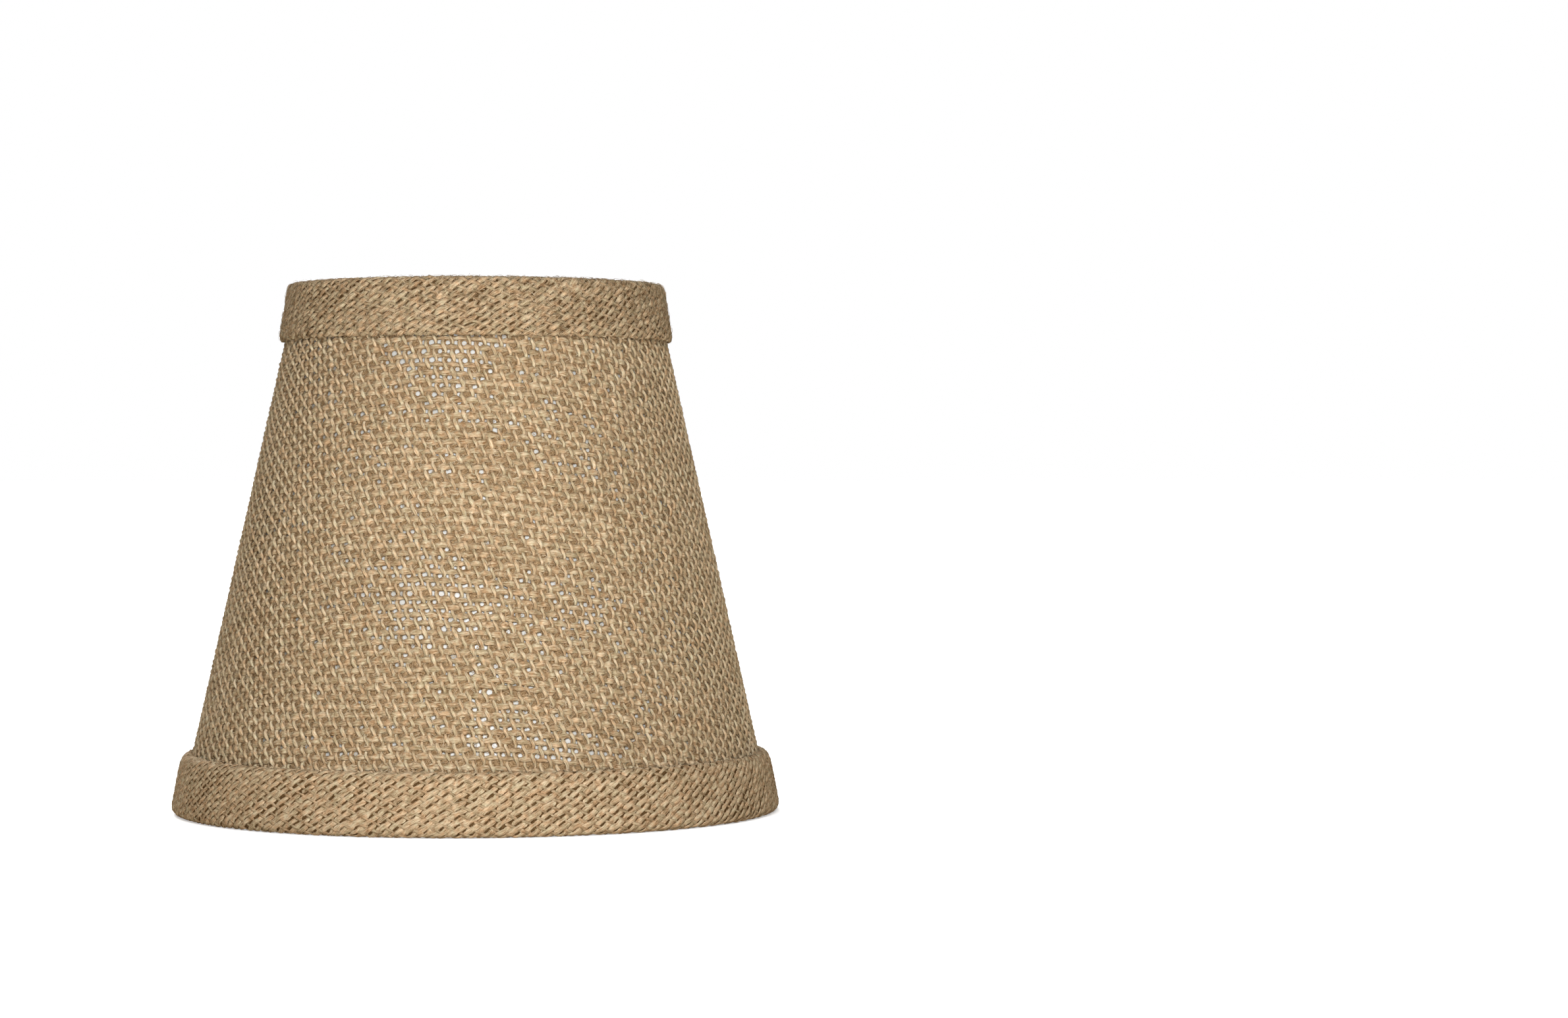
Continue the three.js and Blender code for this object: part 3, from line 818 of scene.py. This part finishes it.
def fuzz(name, surface, weave, inside, corners, seed, filling, lying, standing, parts):
    """Fibres that fill the cells, lie over the yarns and stand off the cloth: how many for each cell."""
    random = draws(seed)
    low, high = weave.index_range(corners)
    s, t = (axis.ravel() + 0.5 for axis in np.meshgrid(*(np.arange(low[k], high[k]) for k in (0, 1))))
    in_region = inside(*weave.point(s, t))
    s, t = s[in_region], t[in_region]
    weft_heading, stray = math.atan2(weave.e1[1], weave.e1[0]), 1.2
    batches = []
    # For each kind: its share, its base and rise over the cloth, length and half thickness in mm, and curl.
    for share, base, rise, length, thickness, curl in (
        (filling, (-0.10, 0.20), (0.05, 0.25), (0.8, 2.0), (0.05, 0.10), 1.1),
        (lying, (0.34, 0.62), (0.05, 0.20), (0.9, 2.4), (0.035, 0.075), 1.2),
        (standing, (0.20, 0.45), (0.1, 0.7), (1.5, 4.0), (0.022, 0.04), 1.2),
    ):
        whole = random.permutation(np.repeat(np.arange(len(s)), math.ceil(share)))
        pick = np.sort(whole[: int(share * len(s))])
        off_s, off_t = (random.uniform(-0.5, 0.5, len(pick)) for _ in range(2))
        x, y = weave.point(s[pick] + off_s, t[pick] + off_t)
        closed = weave.openness(x, y) < random.uniform(-0.35, 0.9, len(pick))
        keep = inside(x, y) & closed
        x, y, n = x[keep], y[keep], int(keep.sum())
        heading = weft_heading + stray * random.standard_normal(n) + math.pi * random.integers(0, 2, n)
        sizes = [random.uniform(*pair, n) * MM for pair in (length, base, rise, thickness)]
        tubes = fibres(surface, random, np.stack([x, y], -1), heading, *sizes, curl)
        batches.append((tubes, random.random(n)))
    pieces = []
    for part in range(parts):
        strands = Strands()
        for tubes, tone in batches:
            a, b = len(tubes) * part // parts, len(tubes) * (part + 1) // parts
            strands.add(tubes[a:b], tone[a:b])
        pieces.append(strands.make(f"{name}_{part + 1}", loose_jute))
    return pieces


# ---- liner, wires and clip

def even_normals(mesh):
    """Each point's normal weighs its faces by their area, so flats look flat and edges round."""
    normals = np.zeros((len(mesh.vertices), 3))
    for face in mesh.polygons:
        normals[list(face.vertices)] += np.array(face.normal) * face.area
    mesh.normals_split_custom_set_from_vertices(unit(normals).tolist())
    return mesh


def turned(name, profile, material, along_x=False, segments=72):
    """A piece turned on a lathe: (radius, height) points in mm, about Z or about X."""
    profile = np.array(profile) * MM
    angle = 2 * math.pi * np.arange(segments) / segments
    across = profile[:, :1] * np.cos(angle), profile[:, :1] * np.sin(angle)
    height = np.broadcast_to(profile[:, 1:], across[0].shape)
    points = np.stack((height, *across) if along_x else (*across, height), -1).reshape(-1, 3)
    faces = grid_faces(len(profile), segments, closed=True)
    return dressed(even_normals(mesh_of(name, points, faces)), material)


def rounded(corners, radius, steps=6):
    """A line through 2-D corners, with the inner ones rounded."""
    corners = [np.array(c, float) for c in corners]
    line = [corners[0]]
    for before, corner, after in zip(corners, corners[1:], corners[2:]):
        into, out = unit(corner - before), unit(after - corner)
        turn = math.acos(np.clip(into @ out, -1, 1))
        reach = radius * math.tan(turn / 2)
        side = np.array([-into[1], into[0]]) * np.sign(into[0] * out[1] - into[1] * out[0])
        centre = corner - into * reach + side * radius
        for k in range(steps + 1):
            angle = turn * k / steps
            line.append(centre - side * radius * math.cos(angle) + into * radius * math.sin(angle))
    return np.array([*line, corners[-1]])


def round_wire(name, path, radius, material, sides=14, closed=False):
    """A round wire with softened ends, or a ring whose ends meet in a small weld."""
    length = np.concatenate([[0], np.linalg.norm(np.diff(path, axis=0), axis=1).cumsum()])
    whole, end = length[-1], 0.6 * radius
    s = np.linspace(0, whole, int(whole / (0.55 * radius)))
    if closed:
        from_end = np.minimum(s, whole - s)
        size = 1 + 0.13 * np.exp(-((from_end / (1.3 * radius)) ** 2))
    else:
        nose = end * (1 - np.cos(np.linspace(0, math.pi / 2, 6)))
        s = np.concatenate([nose, s[(s > 1.2 * end) & (s < whole - 1.2 * end)], whole - nose[::-1]])
        from_end = np.minimum(s, whole - s)
        size = np.sqrt(np.clip(1 - (1 - np.minimum(from_end / end, 1)) ** 2, 1e-4, 1))
    line = np.stack([np.interp(s, length, path[:, k]) for k in range(3)], axis=-1)
    along = unit(np.gradient(line, axis=0))
    if closed:
        normals = np.broadcast_to((0.0, 0.0, 1.0), line.shape)
    else:
        normals = [np.cross(along[0], (0.3, 0.2, 1.0))]
        for direction in along:
            normals.append(unit(normals[-1] - direction * (normals[-1] @ direction)))
        normals = np.array(normals[1:])
    rings = tube(line[None], normals[None], (radius * size)[None], (radius * size)[None], sides)
    if closed:
        rings[0, -1] = rings[0, 0]
    strands = Strands()
    strands.add(rings, np.array([0.5]))
    return strands.make(name, material)


def ring_wire(name, node):
    low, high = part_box(node)
    radius = (high.z - low.z) / 2 / math.cos(math.pi / 6)
    path = around(np.linspace(math.pi, 3 * math.pi, 361), high.x - radius, (low.z + high.z) / 2)
    return round_wire(name, path, radius, enamel, closed=True)


def stadium(half_length, half_width, corner, steps=10):
    """A rectangle's outline with round corners, in mm."""
    outline = []
    for k, (sx, sy) in enumerate(((1, 1), (-1, 1), (-1, -1), (1, -1))):
        for angle in np.linspace(k * math.pi / 2, (k + 1) * math.pi / 2, steps):
            x = sx * (half_length - corner) + corner * math.cos(angle)
            outline.append((x, sy * (half_width - corner) + corner * math.sin(angle)))
    return outline


def circle(x, radius, steps=40):
    angle = np.linspace(0, 2 * math.pi, steps, endpoint=False)
    return [(x + radius * math.cos(a), radius * math.sin(a)) for a in angle]


def bent_plate(name, line, width, corner, holes, thickness, edge, material):
    """A stamping with softened edges, bent to follow a side view `line` of (x, z) points in mm. Holes
    are (place along it from its middle, radius)."""
    length = np.concatenate([[0], np.linalg.norm(np.diff(line, axis=0), axis=1).cumsum()])
    half = length[-1] / 2
    curve = bpy.data.curves.new(name, "CURVE")
    curve.dimensions, curve.fill_mode = "2D", "BOTH"
    curve.extrude, curve.bevel_depth = thickness / 2 - edge, edge
    curve.bevel_resolution, curve.offset = 2, -edge
    for outline in [stadium(half, width / 2, corner), *(circle(*hole) for hole in holes)]:
        spline = curve.splines.new("POLY")
        spline.points.add(len(outline) - 1)
        spline.points.foreach_set("co", [c for x, y in outline for c in (x, y, 0, 1)])
        spline.use_cyclic_u = True
    flat = bpy.data.objects.new(name, curve)
    mesh = bpy.data.meshes.new_from_object(flat)
    bpy.data.objects.remove(flat)
    work = bmesh.new()
    work.from_mesh(mesh)
    bmesh.ops.remove_doubles(work, verts=work.verts, dist=0.002)
    for s in length[1:-1] - half:
        everything = [*work.verts, *work.edges, *work.faces]
        bmesh.ops.bisect_plane(work, geom=everything, plane_co=(s, 0, 0), plane_no=(1, 0, 0))
    bmesh.ops.recalc_face_normals(work, faces=work.faces)
    slope = unit(np.gradient(line, axis=0))
    for v in work.verts:
        x, z, along_x, along_z = (
            np.interp(v.co.x + half, length, column)
            for column in (line[:, 0], line[:, 1], slope[:, 0], slope[:, 1])
        )
        v.co = Vector((x - along_z * v.co.z, v.co.y, z + along_x * v.co.z)) * MM
    work.to_mesh(mesh)
    work.free()
    mesh.materials.clear()
    for face in mesh.polygons:
        face.use_smooth = True
    return dressed(even_normals(mesh), material)


def liner():
    """The styrene sheet: its inner face with the edges, and the outer face that the cover is glued to,
    painted darker as shade under the cloth. Its ends lap at the back."""
    low_z, low_in, low_out = level_radii("styrene_liner", top=False)
    high_z, high_in, high_out = level_radii("styrene_liner", top=True)
    columns, rows = 361, 40
    mean_radius, lap_radius, lap, lap_step, edge = 55 * MM, 60 * MM, 5 * MM, 0.2 * MM, 0.38 * MM
    theta = np.linspace(-math.pi, math.pi, columns)
    slow, quick = field(31, 24 * MM), field(32, 9 * MM)
    share = np.linspace(0, 1, rows)[:, None] + np.zeros(columns)
    pieces = []
    for name, low_r, high_r, material in (
        ("liner_inside", low_in, high_in, liner_face),
        ("liner_outside", low_out, high_out, liner_painted_shade),
    ):
        r, z = low_r + (high_r - low_r) * share, low_z + (high_z - low_z) * share
        wave = 0.05 * MM * slow(theta * mean_radius, z) + 0.02 * MM * quick(theta * mean_radius, z)
        r = r + wave * np.sin(math.pi * share) * (1 - (theta / math.pi) ** 8)
        if material == liner_face:
            # The step of the sheet's lap, and its edges.
            r = r - np.where((math.pi - theta) * lap_radius < lap, lap_step, 0.0)
            r = np.vstack([r[:1] + edge, r, r[-1:] + edge])
            z = np.vstack([z[:1], z, z[-1:]])
        faces = grid_faces(len(r), columns, closed=False)
        if material == liner_face:
            faces = faces[:, ::-1]
        pieces.append(piece_of(name, around(theta, r, z).reshape(-1, 3), faces, material))
    return pieces


def strap():
    low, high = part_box("fitter_crossbar")
    reach, width, thick = high.x / MM, 2 * high.y / MM, 1.2
    end, middle = high.z / MM - thick / 2, low.z / MM + thick / 2
    rise_from, rise_to = 17, 36
    half = [(rise_from, middle), (rise_to, end), (reach, end)]
    line = rounded([*((-x, z) for x, z in reversed(half)), *half], 5.0)
    return bent_plate("strap", line, width, 1.2, [(0, 1.8)], thick, 0.22, enamel)


def saddle():
    low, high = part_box("clip_saddle")
    thick = 0.9
    side, top = high.x / MM - thick / 2, high.z / MM - thick / 2
    foot, radius = low.z / MM, high.y / MM
    corners = [(-side, foot), (-side, top), (side, top), (side, foot)]
    line = rounded(corners, 1.5)
    half = np.linalg.norm(np.diff(line, axis=0), axis=1).sum() / 2
    holes = [(0, 1.8), (half - radius, 1.3), (radius - half, 1.3)]
    return bent_plate("saddle", line, 2 * radius, radius - 0.02, holes, thick, 0.16, nickel)


def rivet():
    """A domed head on the strap, a shank, and a tail that is rolled over under the saddle."""
    low, high = (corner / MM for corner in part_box("saddle_rivet"))
    radius, shank = high.x, 1.5
    seat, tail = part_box("fitter_crossbar")[0].z / MM + 1.5, low.z + 1.0
    dome = [(radius * math.sin(a), seat + 0.25 + (high.z - seat - 0.25) * math.cos(a))
            for a in np.linspace(0.02, math.pi / 2, 16)]
    roll = [(2.05 + 0.55 * math.cos(a), tail - 0.48 + 0.5 * math.sin(a))
            for a in np.linspace(0.5 * math.pi, -0.75 * math.pi, 16)]
    neck = [(radius - 0.06, seat + 0.06), (radius - 0.2, seat), (shank, seat), (shank, tail + 0.02)]
    foot = [(0.9, low.z + 0.45), (0.25, low.z + 0.62), (0.001, low.z + 0.64)]
    return turned("rivet", [*dome, *neck, *roll, *foot], nickel)


def pin():
    """The pin across the saddle, with a peened button at each end."""
    low, high = (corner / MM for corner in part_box("clip_pin"))
    end, radius, shank, head = high.x, (high.z - low.z) / 2, 1.0, 0.8
    button = [
        (0.001, end - 0.10), (0.5, end - 0.08), (0.8, end), (1.25, end - 0.05), (radius - 0.15, end - 0.22),
        (radius, end - 0.45), (radius - 0.08, end - head), (shank, end - head),
    ]
    profile = [*button, *((r, -x) for r, x in reversed(button))]
    piece = turned("pin", profile, nickel, along_x=True, segments=48)
    piece.data.transform(Matrix.Translation((0, 0, (low.z + high.z) / 2 * MM)))
    return piece


def wire_loop(name, side, coil_at):
    """One sprung wire: a tail under the saddle, a coil on the pin, a leg that bows out round the bulb,
    the rounded end of the loop, and the same again. Its points are in mm from the pin's middle. The
    side is -1 for the front."""
    radius, pitch, turns, tail, wire = 2.0, 1.6, 1.25, 3.4, 0.65
    half = [(coil_at - pitch * turns, -side * tail, radius)]
    for turn in np.arange(turns * 16, -1, -1) / 16:
        angle = 2 * math.pi * turn
        half.append((coil_at - pitch * turn, side * radius * math.cos(angle), radius * math.sin(angle)))
    for across, out, down in (
        (coil_at + 0.2, 3.6, 5.5), (12.0, 9.4, 14), (13.2, 12.9, 24), (12.4, 11.6, 34), (8.4, 8.0, 42.5),
    ):
        half.append((across, side * out, -down))
    mirrored = [(-x, y, z) for x, y, z in reversed(half)]
    path = catmull(np.array([*half, (0, side * 7.4, -46.4), *mirrored]), 16, alpha=0.5) * MM
    pin_low, pin_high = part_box("clip_pin")
    path[:, 2] += (pin_low.z + pin_high.z) / 2
    return round_wire(name, path, wire * MM, spring_brass)


# ---- assembly

def strip_corners(band, reach):
    return [(u, v) for u in (-reach, reach) for v in (0, band.width)]


cover, *on_cover = woven_cover()
bottom_cloth, *on_bottom = woven_band("bottom_trim", bottom_band, bottom_weave)
top_cloth, *on_top = woven_band("top_trim", top_band, top_weave)
on_cover += fuzz(
    "cover_fuzz", cone, cover_weave, cover_inside, cover_corners(),
    seed=500, filling=2.8, lying=2.4, standing=0.3, parts=6,
)
on_bottom += fuzz(
    "bottom_trim_fuzz", bottom_band, bottom_weave, bottom_band.inside, strip_corners(bottom_band, 0.3),
    seed=600, filling=2.6, lying=2.2, standing=0.25, parts=2,
)
on_top += fuzz(
    "top_trim_fuzz", top_band, top_weave, top_band.inside, strip_corners(top_band, 0.2),
    seed=700, filling=2.6, lying=2.2, standing=0.25, parts=2,
)

for cloth, on_cloth, slot, node in (
    (cover, on_cover, "burlap", "fabric_cover"),
    (bottom_cloth, on_bottom, "trim_burlap", "bottom_trim"),
    (top_cloth, on_top, "trim_burlap", "top_trim"),
):
    for piece in [cloth, *on_cloth]:
        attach(piece, "shade")
    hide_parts(node)

liner_inside, liner_outside = liner()
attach(liner_outside, "shade")
for piece, body, slot, node in (
    (liner_inside, "shade", "liner", "styrene_liner"),
    (ring_wire("top_ring_wire", "top_ring"), "shade", "ring_wire", "top_ring"),
    (ring_wire("bottom_ring_wire", "bottom_ring"), "shade", "ring_wire", "bottom_ring"),
    (strap(), "shade", "ring_wire", "fitter_crossbar"),
    (saddle(), "clip", "clip_nickel", "clip_saddle"),
    (rivet(), "clip", "clip_nickel", "saddle_rivet"),
    (pin(), "clip", "clip_nickel", "clip_pin"),
    (wire_loop("wire_loop_front", -1, 10.15), "loop_front", "spring_wire", "clip_loop_front"),
    (wire_loop("wire_loop_back", 1, 6.25), "loop_back", "spring_wire", "clip_loop_back"),
):
    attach(piece, body)
    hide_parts(node)


def declare_cloth():
    """The cover's pattern is a sector of a ring, and the trims are strips; this only lists the pieces on
    each cloth and gives no flat size.
    """
    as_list(on_cover)
    for band, cloth, on_band in ((bottom_band, bottom_cloth, on_bottom), (top_band, top_cloth, on_top)):
        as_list(on_band)


declare_cloth()


# ---- studio

def lamp(name, kind, energy, direction, place=(0, 0, 0), **settings):
    """A light that the camera doesn't see, shining from its direction."""
    data = bpy.data.lights.new(name, kind)
    for key, setting in (("energy", energy), *settings.items()):
        setattr(data, key, setting)
    light = bpy.data.objects.new(name, data)
    light.location, light.visible_camera = place, False
    light.rotation_euler = Vector(direction).to_track_quat("Z", "Y").to_euler()
    bpy.context.scene.collection.objects.link(light)


def studio():
    """A white room: a broad light close in front, softer light from the front above and from behind,
    and a white floor."""
    scene = bpy.context.scene
    scene.view_settings.view_transform = "Standard"
    world = bpy.data.worlds.new("studio")
    scene.world = world
    paint = Paint(world, "Background")
    paint.feed(paint.shader, {"Color": paint.seen_or((1, 1, 1), (0.086, 0.075, 0.058))})
    half = 30.0
    corners = np.array([(-half, -half, 0), (half, -half, 0), (half, half, 0), (-half, half, 0)])
    paint = Paint(bpy.data.materials.new("floor_white"))
    paint.feed(paint.shader, {
        "Base Color": paint.seen_or((0.93, 0.93, 0.93), (0.80, 0.74, 0.63)),
        "Roughness": 0.9,
        "Emission Color": paint.seen_or((0.45, 0.45, 0.45), (0.097, 0.084, 0.066)),
        "Emission Strength": 1.0,
    })
    piece_of("floor", corners, [[0, 1, 2, 3]], paint.owner)
    lamp("front", "SUN", 1.63, (0.03, -1.0, 0.6), angle=math.radians(25))
    lamp("back", "SUN", 4.1, (-0.2, 1.0, 0.5), angle=math.radians(30))
    near, aimed_at = Vector((0.01, -0.32, 0.13)), Vector((0, 0, 0.06))
    lamp("near", "AREA", 1.05, near - aimed_at, near, shape="RECTANGLE", size=0.16, size_y=0.12)


def camera():
    """At the photograph's distance and height. The shade stands left of the picture's middle."""
    data = bpy.data.cameras.new("camera")
    data.lens = 86.5
    data.sensor_width = 36.0
    data.clip_start = 0.01
    eye = bpy.data.objects.new("camera", data)
    distance, height = 0.951, 0.0854
    pitch, yaw = math.radians(-0.58), math.radians(-4.66)
    eye.location = (0, -distance, height)
    eye.rotation_euler = (math.pi / 2 + pitch, 0, yaw)
    bpy.context.scene.collection.objects.link(eye)
    bpy.context.scene.camera = eye


studio()
camera()

bpy.context.view_layer.update()
